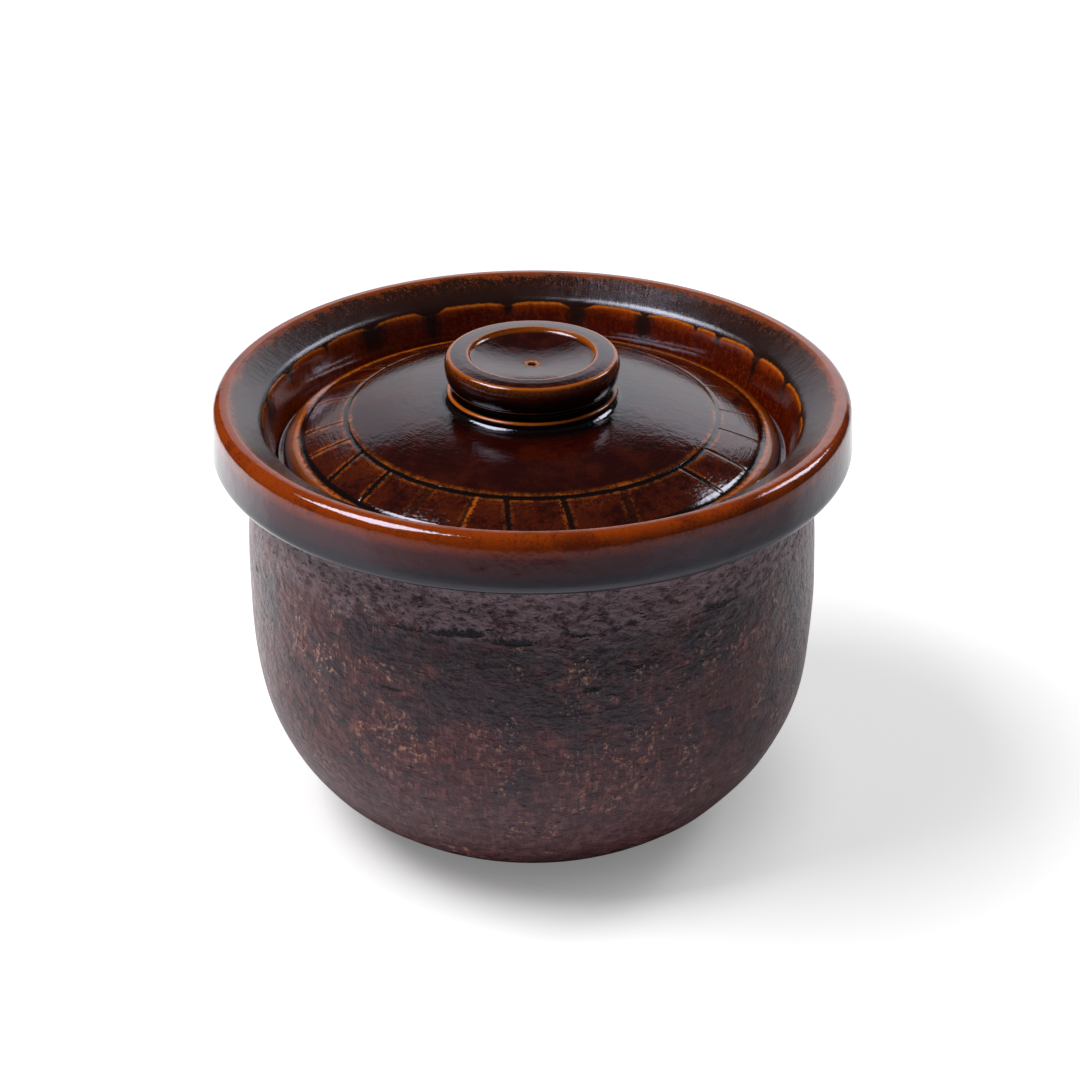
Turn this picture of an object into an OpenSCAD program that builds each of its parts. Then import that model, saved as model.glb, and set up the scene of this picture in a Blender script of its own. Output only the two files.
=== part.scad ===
// Clay rice pot: a thrown stoneware bowl with a heavy rolled collar and a loose, recessed lid.
// Millimetres, +Z up, origin at the middle of the foot on the surface the pot stands on.
// Every sub-part is turned on one axis, so each is a round outline with a few hand cuts.

/* [Bowl] */
// Height of the rim's crest above the surface the pot stands on
rim_height = 152; // [148:1:158]
// Widest outer radius of the bowl, at the belly
belly_r = 97; // [95:0.2:99]
// Height of the belly
belly_height = 80; // [76:1:84]
// Depth below the foot that the lower curve would reach if it ran on to the axis
curve_under = 12.3; // [10:0.1:16]
// Fullness of the lower curve: 2 is an ellipse, more is squarer
belly_fullness = 2.8; // [2.6:0.1:3]
// Wall thickness at the belly
belly_wall = 10.6; // [9:0.2:12]
// Wall thickness at the neck
neck_wall = 9.6; // [8:0.2:11]
// How much shallower the cavity's lower curve is than the outer one
corner_wall = 12.3; // [11:0.1:13]
// Thickness of the base
base_t = 10; // [8:0.5:12]

/* [Collar] */
// Largest outer radius of the collar, low on its side
collar_r = 106.9; // [104:0.1:110]
// How far the shoulder, just under the crest, stands in from that radius
shoulder_in = 1.7; // [1:0.1:2.2]
// How far the crest lies in from that radius
crest_in = 6.5; // [5.9:0.1:7.1]
// How far the bowl's neck, under the collar, stands in from that radius
neck_in = 13.1; // [12.5:0.1:13.9]
// Distance from the crest down to the collar's underside
collar_drop = 23; // [22:0.5:24]
// Radial width of the bevel along the collar's lower edge
bevel_w = 10; // [8.5:0.5:11]
// Height of that bevel
bevel_h = 4.8; // [4:0.2:6]
// Distance from the crest down to the plane where the collar is luted to the bowl
luting_drop = 29; // [28:0.5:31]
// Radial width of the flare, from the crest in to the arris where it turns down into the well
flare_w = 10.8; // [9.8:0.1:11.8]
// Distance from the crest down to that arris
flare_drop = 6.6; // [5.8:0.1:7.2]
// How far the well's wall leans in from that arris to its foot
well_lean = 4.4; // [3.8:0.1:5.2]
// Distance from the crest down to the ledge that carries the lid
ledge_drop = 21.5; // [20.5:0.5:22]
// Radial width of the ledge, from the well's wall in to the pot's mouth
ledge_w = 9.2; // [8.4:0.1:10]
// Height of the cone that eases the ledge's lower edge into the bowl's neck
ledge_cone_h = 1.5; // [1:0.1:2]

/* [Collar roundings] */
// Rounding of the ledge's edges at the mouth
ledge_round = 1; // [0.5:0.1:1.2]
// Fillet between the ledge and the well's wall
well_fillet = 1; // [0.5:0.1:1.5]
// Rounding of the arris between flare and well
arris_round = 4; // [3:0.1:5]
// Rounding of the crest
crest_round = 1.2; // [0.5:0.1:2]
// Rounding of the shoulder
shoulder_round = 3.6; // [2:0.1:4]
// Rounding where the collar's side meets its bevel
side_round = 3.5; // [2:0.1:4]
// Rounding where the bevel meets the underside
bevel_round = 1; // [0.5:0.1:1.5]
// Fillet between the underside and the neck
neck_fillet = 1; // [0.5:0.1:1.2]

/* [Lid plate] */
// Radial clearance between the lid's lip and the well's wall
lip_gap = 1.9; // [1.5:0.1:2.5]
// Radial clearance between the lid's locating ring and the mouth
ring_gap = 1.4; // [1:0.1:2]
// Height of the dome's top, if it ran on under the knob, above the ledge
dome_height = 19.3; // [18.5:0.1:20]
// Share of the dome's fall that goes with the square of the radius, the rest with its fourth power
dome_blend = 0.53; // [0.4:0.01:0.7]
// Radial width of the lip, from its side in to its arris
lip_w = 5.3; // [4.8:0.1:5.8]
// Height of the lip's arris above the ledge
lip_height = 5.7; // [5.2:0.1:6]
// Height of the lip's upright side
lip_side = 1.2; // [0.8:0.1:1.6]
// Ease of the lip's lower edge
lip_ease = 0.8; // [0.4:0.1:1]
// Thickness of the lid's plate
plate_t = 8; // [7:0.5:9]
// Depth of the locating ring below the ledge
ring_depth = 5.5; // [4:0.5:7]
// Radial thickness of the locating ring
ring_t = 5; // [4:0.5:6]
// Ease of the locating ring's lower edges
ring_ease = 1; // [0.5:0.1:1.5]

/* [Lid decoration] */
// Radius of the tool that turned the outer groove
outer_groove_tool = 1.35; // [1.2:0.05:1.5]
// Width of the land between the outer groove and the lip's arris
groove_land = 0.05; // [0.05:0.05:0.3]
// Radius of the tool that turned the inner groove
inner_groove_tool = 1.15; // [1:0.05:1.3]
// Width of the band between the two grooves, from middle to middle
band_w = 14.6; // [13:0.1:16]
// Width of the lines cut across the band between the grooves
cut_width = 1.3; // [1:0.1:1.6]
// Depth of those lines
cut_depth = 0.9; // [0.5:0.1:1.2]

/* [Knob] */
// Largest radius of the knob's disc
knob_r = 29; // [27:0.5:32]
// Height of the disc, from the waist up to its top
disc_h = 11.5; // [10.6:0.1:12]
// Height of the disc's widest line below its top
knob_edge_drop = 4; // [3:0.2:5]
// How far the arris round the disc's top lies in from its widest line
knob_arris_in = 1.6; // [1.2:0.1:2]
// Radial width of the ring between that arris and the dish
dish_rim_w = 6.4; // [5.4:0.1:7.4]
// How far that ring falls from the dish's edge out to the arris
dish_rim_fall = 0.5; // [0.3:0.1:1]
// Radial width of the dish's curved wall
dish_wall_w = 2.4; // [2:0.1:3]
// Depth of the dish at its middle
dish_depth = 4; // [3:0.1:5]
// How far the dish's floor rises from its middle to its edge
dish_hollow = 2.2; // [1.6:0.1:2.8]
// How far the waist, the narrowest line under the disc, lies in from the widest line
waist_in = 4.4; // [3.8:0.1:6]
// Height of the waist's upright side
waist_h = 1.1; // [1:0.1:1.6]
// How far the side of the knob's base ring lies in from the disc's widest line
base_ring_in = 0.7; // [0.2:0.1:1]
// Height of the base ring above the dome it stands on
base_ring_h = 3.06; // [2.5:0.02:4]
// Ease of the base ring's arris
base_ring_ease = 1; // [0.5:0.1:1.2]
// Diameter of the small pit in the middle of the dish
pit_d = 3; // [2:0.2:4]
// Depth of that pit
pit_depth = 2.4; // [1:0.2:3]

/* [Hidden] */
$fn = 96;

// Angles of the hand-cut lines round the lid's band, in degrees from +X
cut_angles = [4, 20, 36, 51, 67, 83, 98, 114, 128, 143, 156, 168,
              185, 198, 210, 224, 239, 253, 264, 280, 296, 320, 335, 350];

// Longest step between the points of a computed curve, and the angle between the points of an arc
curve_step = 4;
arc_step = 15;

// Heights above the surface the pot stands on
luting_z = rim_height - luting_drop;
ledge_z = rim_height - ledge_drop;
flare_z = rim_height - flare_drop;
collar_low_z = rim_height - collar_drop;

// Radii of the collar, from its side in to the mouth
shoulder_r = collar_r - shoulder_in;
crest_r = collar_r - crest_in;
flare_r = crest_r - flare_w;
well_r = flare_r - well_lean;
mouth_r = well_r - ledge_w;

// The bowl's neck ends inside the collar, and the cavity follows the bowl's outside, one wall further in
neck_r = collar_r - neck_in;
belly_depth = belly_height + curve_under;
cavity_r = belly_r - belly_wall;
cavity_depth = belly_depth - corner_wall;
throat_r = neck_r - neck_wall;

// Radii of the lid that follow from the pot and the clearances
lip_r = well_r - lip_gap;
lip_arris_r = lip_r - lip_w;
ring_r = mouth_r - ring_gap;
ring_inner_r = ring_r - ring_t;

// Lid's two grooves and the band between them
outer_groove_r = lip_arris_r - groove_land - outer_groove_tool;
inner_groove_r = outer_groove_r - band_w;
band_mid_r = inner_groove_r + band_w / 2;
band_slope = atan2(dome_z(inner_groove_r) - dome_z(outer_groove_r), band_w);

// Radii of the knob, from its widest line in to the middle
knob_arris_r = knob_r - knob_arris_in;
dish_r = knob_arris_r - dish_rim_w;
dish_floor_r = dish_r - dish_wall_w;
waist_r = knob_r - waist_in;
base_ring_r = knob_r - base_ring_in;

// The knob's base ring stands on a flat turned into the top of the dome, and the rest stands on it
knob_base_z = dome_z(base_ring_r);
base_arris_z = knob_base_z + base_ring_h;
waist_z = base_arris_z + waist_h;
knob_top_z = waist_z + disc_h;

// Unit vector along v
function unit(v) = v / norm(v);

// Whole number of steps, none longer than curve_step, that cover a length
function steps(length) = ceil(length / curve_step);

// Arc that rounds corner b, between neighbours a and c, with radius r
function corner(a, b, c, r) =
    let (u = unit(a - b),
         v = unit(c - b),
         half = acos(u * v) / 2,
         centre = b + unit(u + v) * r / sin(half),
         first = b + u * r / tan(half) - centre,
         last = b + v * r / tan(half) - centre,
         start = atan2(first.y, first.x),
         sweep = (atan2(last.y, last.x) - start + 540) % 360 - 180,
         count = ceil(abs(sweep) / arc_step))
    [for (i = [0:count]) centre + r * [cos(start + sweep * i / count), sin(start + sweep * i / count)]];

// Closed outline from corners [radius, height, rounding]; a rounding of 0 leaves the corner sharp
function rounded(path) =
    let (count = len(path))
    [for (i = [0:count - 1])
        let (a = path[(i + count - 1) % count], b = path[i], c = path[(i + 1) % count])
        each (b.z > 0 ? corner([a.x, a.y], [b.x, b.y], [c.x, c.y], b.z) : [[b.x, b.y]])];

// Arc of an ellipse about [r, z], from start to end degrees, with half axes a across and b up
function ellipse_arc(r, z, a, b, start, end) =
    [for (t = [start:(end > start ? arc_step : -arc_step):end]) [r + a * cos(t), z + b * sin(t)]];

// Radius at height z of a wall that is r at the belly, r_top at the luting plane, and curves in below
function wall_r(r, r_top, depth, z) =
    z < belly_height
        ? r * sqrt(1 - pow((belly_height - z) / depth, belly_fullness))
        : r - (r - r_top) * pow((z - belly_height) / (luting_z - belly_height), 2);

// Height of the lid's top surface at radius r
function dome_z(r) =
    let (x = r / lip_arris_r)
    ledge_z + dome_height
    - (dome_height - lip_height) * (dome_blend * pow(x, 2) + (1 - dome_blend) * pow(x, 4));

// Solid turned from an outline of [radius, height] points
module turned(outline) {
    rotate_extrude(angle = 360) polygon(outline);
}

// Bowl with its foot and its cavity
module pot_bowl() {
    outer_steps = steps(luting_z);
    inner_steps = steps(luting_z - base_t);
    outside = [for (i = [0:outer_steps])
        let (z = luting_z * i / outer_steps)
        [wall_r(belly_r, neck_r, belly_depth, z), z]];
    inside = [for (i = [inner_steps:-1:0])
        let (z = base_t + (luting_z - base_t) * i / inner_steps)
        [wall_r(cavity_r, throat_r, cavity_depth, z), z]];
    color("#3b2226") turned(concat([[0, 0]], outside, inside, [[0, base_t]]));
}

// Rolled collar with its flare, its well and the ledge that carries the lid
module pot_collar() {
    collar_corners = [
        [mouth_r, luting_z + ledge_cone_h, ledge_round],
        [mouth_r, ledge_z, ledge_round],
        [well_r, ledge_z, well_fillet],
        [flare_r, flare_z, arris_round],
        [crest_r, rim_height, crest_round],
        [shoulder_r, rim_height, shoulder_round],
        [collar_r, collar_low_z + bevel_h, side_round],
        [collar_r - bevel_w, collar_low_z, bevel_round],
        [neck_r, collar_low_z, neck_fillet],
        [neck_r, luting_z, 0],
        [throat_r, luting_z, 0]
    ];
    color("#8a4212") turned(rounded(collar_corners));
}

// Lid plate: dome, turned grooves, cut lines, lip, seat and locating ring
module lid_plate() {
    ring_low_z = ledge_z - ring_depth;
    top_steps = steps(lip_arris_r - base_ring_r);
    under_steps = steps(ring_inner_r);
    top = [for (i = [0:top_steps])
        let (r = base_ring_r + (lip_arris_r - base_ring_r) * i / top_steps)
        [r, dome_z(r)]];
    lip = ellipse_arc(lip_arris_r, ledge_z + lip_side, lip_w, lip_height - lip_side, 90 - arc_step, 0);
    seat_and_ring = [
        [lip_r - lip_ease, ledge_z],
        [ring_r, ledge_z],
        [ring_r, ring_low_z + ring_ease],
        [ring_r - ring_ease, ring_low_z],
        [ring_inner_r + ring_ease, ring_low_z]
    ];
    underside = [for (i = [under_steps:-1:0])
        let (r = ring_inner_r * i / under_steps)
        [r, dome_z(r) - plate_t]];
    color("#571f12")
    difference() {
        rotate_extrude(angle = 360)
        difference() {
            polygon(concat([[0, knob_base_z]], top, lip, seat_and_ring, underside));
            translate([inner_groove_r, dome_z(inner_groove_r)]) circle(r = inner_groove_tool);
            translate([outer_groove_r, dome_z(outer_groove_r)]) circle(r = outer_groove_tool);
        }
        for (angle = cut_angles)
            rotate([0, 0, angle])
            translate([band_mid_r, 0, dome_z(band_mid_r)])
            rotate([0, band_slope, 0])
                cube([band_w / cos(band_slope), cut_width, 2 * cut_depth], center = true);
    }
}

// Knob: dished disc on a short waist, with a base ring and the pit in the middle of the dish
module lid_knob() {
    edge_z = knob_top_z - knob_edge_drop;
    dish_z = knob_top_z - dish_depth;
    dish_steps = steps(dish_floor_r);
    dish_floor = [for (i = [0:dish_steps])
        let (x = i / dish_steps)
        [dish_floor_r * x, dish_z + dish_hollow * pow(x, 2)]];
    wall_h = dish_depth - dish_hollow;
    dish_wall = ellipse_arc(dish_floor_r, knob_top_z, dish_wall_w, wall_h, arc_step - 90, 0);
    side_h = knob_edge_drop - dish_rim_fall;
    disc_side = ellipse_arc(knob_arris_r, edge_z, knob_r - knob_arris_r, side_h, 90, 0);
    underside = ellipse_arc(waist_r, edge_z, knob_r - waist_r, edge_z - waist_z, -arc_step, arc_step - 90);
    base_ring = [
        [waist_r, waist_z],
        [waist_r, base_arris_z],
        [base_ring_r - base_ring_ease, base_arris_z],
        [base_ring_r, base_arris_z - base_ring_ease],
        [base_ring_r, knob_base_z]
    ];
    color("#6a2c10")
    difference() {
        turned(concat(dish_floor, dish_wall, disc_side, underside, base_ring, [[0, knob_base_z]]));
        translate([0, 0, dish_z - pit_depth]) cylinder(d = pit_d, h = dish_depth + pit_depth, $fn = 24);
    }
}

pot_bowl();
pot_collar();
lid_plate();
lid_knob();
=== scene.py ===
"""Clay rice pot: glazed and unglazed stoneware over a packed frame, laid out as an add-on."""

import math

import bmesh
import bpy
from mathutils import Matrix, Vector, noise


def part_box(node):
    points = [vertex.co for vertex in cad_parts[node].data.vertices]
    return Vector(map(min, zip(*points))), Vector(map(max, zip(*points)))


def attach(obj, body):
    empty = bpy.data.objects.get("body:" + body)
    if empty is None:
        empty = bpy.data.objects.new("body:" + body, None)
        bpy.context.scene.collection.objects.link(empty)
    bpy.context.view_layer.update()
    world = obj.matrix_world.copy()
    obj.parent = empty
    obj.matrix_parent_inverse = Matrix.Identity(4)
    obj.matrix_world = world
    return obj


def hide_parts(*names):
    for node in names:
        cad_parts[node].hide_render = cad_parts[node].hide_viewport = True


bl_info = {
    "name": "Clay Rice Pot",
    "version": (1, 0, 0),
    "blender": (4, 5, 0),
    "location": "3D View > Sidebar > Pot",
    "description": "Makes a thrown rice pot with a recessed lid and its glazes",
    "category": "Add Mesh",
}

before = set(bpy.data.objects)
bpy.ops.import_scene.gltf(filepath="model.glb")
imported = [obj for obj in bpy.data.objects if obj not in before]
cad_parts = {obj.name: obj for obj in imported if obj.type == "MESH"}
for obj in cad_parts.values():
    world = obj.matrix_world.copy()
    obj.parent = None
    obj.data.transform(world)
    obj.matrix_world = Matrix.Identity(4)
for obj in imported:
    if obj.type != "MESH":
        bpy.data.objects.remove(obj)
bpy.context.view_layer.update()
RIM_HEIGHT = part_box("pot_collar")[1].z
COLLAR_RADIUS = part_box("pot_collar")[1].x
LUTING_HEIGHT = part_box("pot_collar")[0].z
TOP_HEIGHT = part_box("lid_knob")[1].z
KNOB_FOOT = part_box("lid_knob")[0].z
RING_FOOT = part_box("lid_plate")[0].z

MM = 0.001
TURN = 2 * math.pi
MERGE = 1e-6
SECTORS = 16

# Edges that bend more than this many degrees stay sharp
SHARP = 38

# Numbers that the vertices carry for the materials: the nearest run of the collar, the nearest cut of the lid
RUN_KEYS = ("distance", "half", "depth", "reach", "spread")
CUT_KEYS = ("distance", "half", "fill", "glow")

# Hand-cut lines of the lid's band: angle at the inner groove, angle at the outer groove, half width in
# millimetres, how black the glaze in it is, and how bright the arris is before and after it
CUT_LINES = [
    (2.0, 5.5, 0.45, 0.9, 0.2, 0.1),
    (20.0, 21.0, 0.6, 0.7, 0.3, 0.2),
    (36.5, 35.5, 0.6, 0.8, 0.2, 0.3),
    (51.0, 51.5, 0.65, 0.7, 0.4, 0.2),
    (67.5, 66.5, 0.6, 0.8, 0.2, 0.3),
    (82.5, 83.5, 0.7, 0.6, 0.3, 0.2),
    (98.0, 98.5, 0.6, 0.8, 0.3, 0.3),
    (114.0, 113.5, 0.65, 0.7, 0.2, 0.3),
    (128.0, 128.5, 0.6, 0.8, 0.3, 0.2),
    (143.5, 142.5, 0.6, 0.7, 0.2, 0.4),
    (156.0, 156.0, 0.5, 0.6, 0.3, 0.2),
    (168.8, 167.5, 0.6, 0.6, 0.4, 0.5),
    (186.5, 184.3, 0.6, 0.6, 0.6, 0.5),
    (198.8, 197.2, 0.6, 0.6, 0.7, 0.5),
    (209.0, 211.5, 0.75, 1.0, 0.4, 0.3),
    (224.0, 224.8, 0.75, 1.0, 0.3, 0.4),
    (240.0, 239.0, 1.5, 0.45, 0.1, 0.1),
    (253.5, 252.8, 0.45, 0.6, 0.1, 1.0),
    (262.8, 265.2, 0.75, 0.95, 0.1, 0.1),
    (279.0, 280.0, 0.8, 0.95, 0.4, 0.1),
    (297.0, 294.8, 1.2, 0.6, 0.1, 0.1),
    (319.0, 322.0, 0.95, 1.0, 0.1, 0.3),
    (334.0, 335.5, 0.8, 0.8, 0.2, 0.2),
    (348.5, 351.0, 0.6, 0.85, 0.2, 0.1),
]

# Runs of dark glaze over the arris of the well: angle, half width and depth of the notch in the amber's
# upper edge, length and half width of the soft run below it, the last four in millimetres
GLAZE_RUNS = [
    (-3.0, 2.0, 1.6, 5.0, 3.6),
    (14.0, 1.8, 2.6, 6.5, 2.4),
    (28.4, 2.2, 3.0, 8.5, 2.8),
    (42.0, 1.5, 2.0, 4.5, 1.8),
    (49.0, 0.8, 0.8, 1.6, 0.8),
    (62.8, 1.4, 1.4, 10.5, 5.2),
    (79.5, 4.4, 3.5, 8.5, 4.8),
    (96.0, 2.0, 1.4, 4.0, 3.0),
    (114.8, 4.0, 3.5, 12.0, 4.4),
    (130.7, 2.2, 2.2, 9.0, 8.0),
    (145.0, 1.4, 0.9, 2.0, 1.4),
    (160.4, 2.6, 2.0, 5.0, 2.4),
    (175.8, 1.6, 1.0, 7.0, 7.0),
    (191.5, 2.2, 1.8, 5.5, 3.0),
    (206.0, 1.8, 2.2, 6.0, 2.6),
    (220.0, 2.6, 2.6, 8.0, 3.6),
    (236.0, 1.4, 1.2, 4.0, 1.8),
    (251.0, 2.8, 2.4, 7.0, 4.0),
    (266.0, 1.8, 1.6, 5.0, 2.4),
    (282.0, 2.2, 2.6, 8.0, 3.2),
    (297.0, 1.6, 1.4, 4.5, 2.0),
    (313.0, 3.0, 2.4, 7.5, 4.4),
    (329.0, 1.8, 1.8, 5.0, 2.2),
    (343.0, 2.4, 2.0, 6.5, 3.0),
]

# Long scars of the bowl: angle, height, half length and half height in millimetres
SCARS = [
    (241.0, 101.5, 3.0, 0.6),
    (246.0, 111.0, 5.5, 0.5),
    (253.5, 111.5, 4.0, 0.8),
    (258.0, 112.5, 5.0, 1.1),
    (266.5, 110.5, 6.5, 1.0),
    (261.0, 102.0, 1.8, 0.9),
    (279.5, 112.5, 3.0, 0.6),
    (243.0, 88.5, 3.5, 0.5),
    (275.0, 85.0, 8.0, 0.5),
    (281.0, 93.5, 2.6, 0.8),
    (199.5, 100.5, 1.8, 0.9),
    (308.0, 112.0, 6.0, 0.7),
]

# Broad zones of the bowl, dark where the slip is thick and tan where bare grains show: angle, height, half
# width and half height in millimetres, weight
DARK_ZONES = [
    (252.0, 104.0, 40.0, 12.0, 1.0),
    (290.0, 103.0, 36.0, 13.0, 0.9),
    (262.0, 89.0, 30.0, 8.0, 0.8),
    (318.0, 112.0, 24.0, 8.0, 0.7),
    (205.0, 96.0, 16.0, 20.0, 0.5),
    (268.0, 56.0, 16.0, 12.0, 0.4),
    (30.0, 100.0, 50.0, 12.0, 0.9),
    (95.0, 92.0, 45.0, 14.0, 1.0),
    (150.0, 104.0, 40.0, 10.0, 0.8),
]
TAN_ZONES = [
    (228.0, 91.0, 16.0, 6.0, 1.2),
    (220.0, 92.0, 6.0, 4.0, 0.8),
    (237.0, 64.0, 14.0, 12.0, 1.0),
    (281.0, 98.0, 9.0, 9.0, 1.1),
    (310.0, 98.0, 18.0, 10.0, 1.0),
    (292.0, 63.0, 16.0, 8.0, 1.1),
    (285.0, 52.0, 22.0, 8.0, 0.9),
    (255.0, 70.0, 40.0, 10.0, 0.5),
    (205.0, 112.0, 20.0, 6.0, 0.6),
    (60.0, 70.0, 40.0, 14.0, 0.8),
    (120.0, 66.0, 36.0, 16.0, 1.0),
    (165.0, 88.0, 18.0, 8.0, 0.9),
]

# Tint of everything that mirrors in the surface, and how strongly glaze and bare clay mirror
SHEEN = (0.8, 0.82, 1.0, 1.0)
GLAZE_IOR = 1.78
CLAY_IOR = 1.56

# Soft boxes: name, angle round the pot and height above the horizon in degrees, width, height and distance in
# metres, power in watts
LAMPS = [
    ("box_left", 189.0, 56.0, 1.3, 1.05, 2.2, 44.0),
    ("box_right", 33.0, 36.0, 0.62, 0.75, 2.2, 11.0),
]
LAMP_AIM = Vector((0.0, 0.0, 0.14))

# Camera: place in metres, tilt in degrees up from straight down, width of its sensor in millimetres
CAMERA_PLACE = (0.0026, -0.6858, 0.4696)
CAMERA_TILT = 61.29
SENSOR_WIDTH = 36.0

# Soft light from all round, and plain white
DIM = 0.03
WHITE = (1.0, 1.0, 1.0, 1.0)


def length(name, default, text):
    """A size that a user may change, in metres."""
    return bpy.props.FloatProperty(name=name, description=text, default=default, unit="LENGTH", precision=5)


def colour(name, default, text):
    """A colour that a user may change."""
    return bpy.props.FloatVectorProperty(
        name=name, description=text, default=default, size=3, min=0.0, max=1.0, subtype="COLOR"
    )


def amount(name, default, text):
    """A plain number that a user may change."""
    return bpy.props.FloatProperty(name=name, description=text, default=default)


class BowlSettings(bpy.types.PropertyGroup):
    """Sizes and colours of the bowl."""

    belly_radius: length("Belly radius", 0.097, "Widest outer radius of the bowl")
    belly_height: length("Belly height", 0.08, "Height of the widest line")
    belly_depth: length("Belly depth", 0.0923, "How far below the belly the lower curve meets the axis")
    fullness: amount("Fullness", 2.8, "Exponent of the lower curve: 2 is an ellipse, more is squarer")
    neck_radius: length("Neck radius", 0.0938, "Outer radius where the bowl runs into the collar")
    belly_wall: length("Wall", 0.0106, "Thickness of the wall at the belly")
    neck_wall: length("Neck wall", 0.0096, "Thickness of the wall at the neck")
    corner_wall: length("Corner wall", 0.0123, "How much shallower the cavity's curve is than the outer one")
    base_thickness: length("Base", 0.01, "Thickness of the base")
    unevenness: length("Unevenness", 0.0005, "How far the thrown wall strays from a true curve")
    body: colour("Body", (0.11, 0.032, 0.033), "Purple brown of the bare slip")
    shade: colour("Shade", (0.028, 0.018, 0.021), "Blue black where the slip is thick")
    rust: colour("Rust", (0.32, 0.1, 0.07), "Rust brown where the slip is thin")
    # Ash is also laid over the bowl's low zone as a painted reflection of the floor
    ash: colour("Ash", (0.22, 0.12, 0.15), "Purple grey of the slip under the collar")
    pale: colour("Pale", (0.42, 0.27, 0.3), "Pink grey of the rubbed slip under the collar")
    fleck: colour("Fleck", (0.68, 0.36, 0.23), "Tan of the bare grains on high spots")
    scar: colour("Scar", (0.006, 0.004, 0.0045), "Black in the pits and scars")


class CollarSettings(bpy.types.PropertyGroup):
    """Sizes and colours of the collar."""

    crest_radius: length("Crest radius", 0.1004, "Radius of the crest")
    shoulder_radius: length("Shoulder radius", 0.1052, "Outer radius just under the crest")
    drop: length("Drop", 0.023, "Distance from the crest down to the underside")
    bevel_width: length("Bevel width", 0.01, "Radial width of the bevel along the lower edge")
    bevel_height: length("Bevel height", 0.0048, "Height of that bevel")
    flare_radius: length("Flare radius", 0.0896, "Radius of the sharp corner between flare and well")
    flare_drop: length("Flare drop", 0.0066, "Distance from the crest down to that corner")
    flare_round: length("Flare rounding", 0.005, "Rounding of that corner")
    arris_drop: length("Arris drop", 0.0075, "Distance from the crest to the bright line on the well's wall")
    well_radius: length("Well radius", 0.0852, "Radius at the foot of the well's wall")
    ledge_drop: length("Ledge drop", 0.0215, "Distance from the crest down to the ledge")
    mouth_radius: length("Mouth radius", 0.076, "Inner radius of the ledge")
    amber: colour("Amber", (0.35, 0.047, 0.001), "Glaze of middle thickness")
    glow: colour("Glow", (0.68, 0.175, 0.009), "Glaze where it thins to nothing on an arris")
    russet: colour("Russet", (0.25, 0.057, 0.013), "Worn red brown along the crest")
    iron: colour("Iron", (0.012, 0.0055, 0.0045), "Black iron brushwork on the flare")
    # Slate: dark glaze along the lower edge, with the bevel's blue black a painted reflection of the shaded
    # floor
    slate: colour("Slate", (0.016, 0.018, 0.022), "Blue black glaze gathered along the lower edge")
    deep: colour("Deep", (0.075, 0.0045, 0.0005), "Glaze where it runs thick")


class LidSettings(bpy.types.PropertyGroup):
    """Sizes and colours of the lid's plate."""

    lip_radius: length("Lip radius", 0.0833, "Outer radius of the lip")
    arris_radius: length("Arris radius", 0.078, "Radius of the lip's arris")
    lip_height: length("Lip height", 0.0057, "Height of the arris above the ledge")
    lip_side: length("Lip side", 0.0012, "Height of the lip's upright side")
    dome_height: length("Dome height", 0.0193, "Height of the dome, if it ran on under the knob")
    dome_blend: amount("Dome blend", 0.53, "Share of the fall that goes with the square of the radius")
    plate: length("Plate", 0.008, "Thickness of the plate")
    ring_radius: length("Ring radius", 0.0746, "Outer radius of the locating ring")
    ring_wall: length("Ring wall", 0.005, "Radial thickness of the locating ring")
    inner_groove: length("Inner groove", 0.062, "Radius of the inner turned groove")
    outer_groove: length("Outer groove", 0.0766, "Radius of the outer turned groove")
    groove_half: length("Groove half width", 0.00125, "Half the width of a turned groove")
    groove_depth: length("Groove depth", 0.00015, "Depth of a turned groove")
    cut_depth: length("Cut depth", 0.00012, "Depth of a cut line")
    pool_height: length("Pool height", 0.0008, "Height of the glaze gathered against the knob's foot")
    pool_width: length("Pool width", 0.0018, "How far that glaze reaches out")
    field: colour("Field", (0.022, 0.0018, 0.001), "Dark red brown inside the inner groove")
    mottle: colour("Mottle", (0.07, 0.0078, 0.0016), "Warmer brown of the band and the mottling")
    glow: colour("Glow", (0.52, 0.12, 0.007), "Glaze where it thins on an arris")
    # Pool also serves as painted shade: on the lip's slope to the seat, under the knob's disc and in the
    # knob's pits
    pool: colour("Pool", (0.003, 0.0018, 0.0016), "Glaze where it pools in a groove")


class KnobSettings(bpy.types.PropertyGroup):
    """Sizes and colours of the knob."""

    radius: length("Radius", 0.029, "Largest radius of the disc")
    arris_radius: length("Arris radius", 0.0274, "Radius of the arris round the disc's top")
    edge_drop: length("Edge drop", 0.004, "Height of the widest line below the top")
    rim_fall: length("Rim fall", 0.0005, "How far the ring round the dish falls outwards")
    dish_radius: length("Dish radius", 0.021, "Radius of the dish")
    dish_floor: length("Dish floor", 0.0186, "Radius of the dish's floor")
    dish_depth: length("Dish depth", 0.004, "Depth of the dish at its middle")
    dish_hollow: length("Dish hollow", 0.0022, "Rise of the dish's floor from its middle to its edge")
    waist_radius: length("Waist radius", 0.0246, "Radius of the waist")
    waist_drop: length("Waist drop", 0.0115, "Distance from the top down to the waist")
    foot_radius: length("Foot radius", 0.0283, "Radius of the base ring")
    foot_drop: length("Foot drop", 0.0126, "Distance from the top down to the base ring's arris")
    pit_radius: length("Pit radius", 0.0015, "Radius of the pit in the dish")
    pit_depth: length("Pit depth", 0.0024, "Depth of the pit")
    bare: colour("Bare clay", (0.62, 0.4, 0.16), "Pale clay in the pit")


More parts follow.
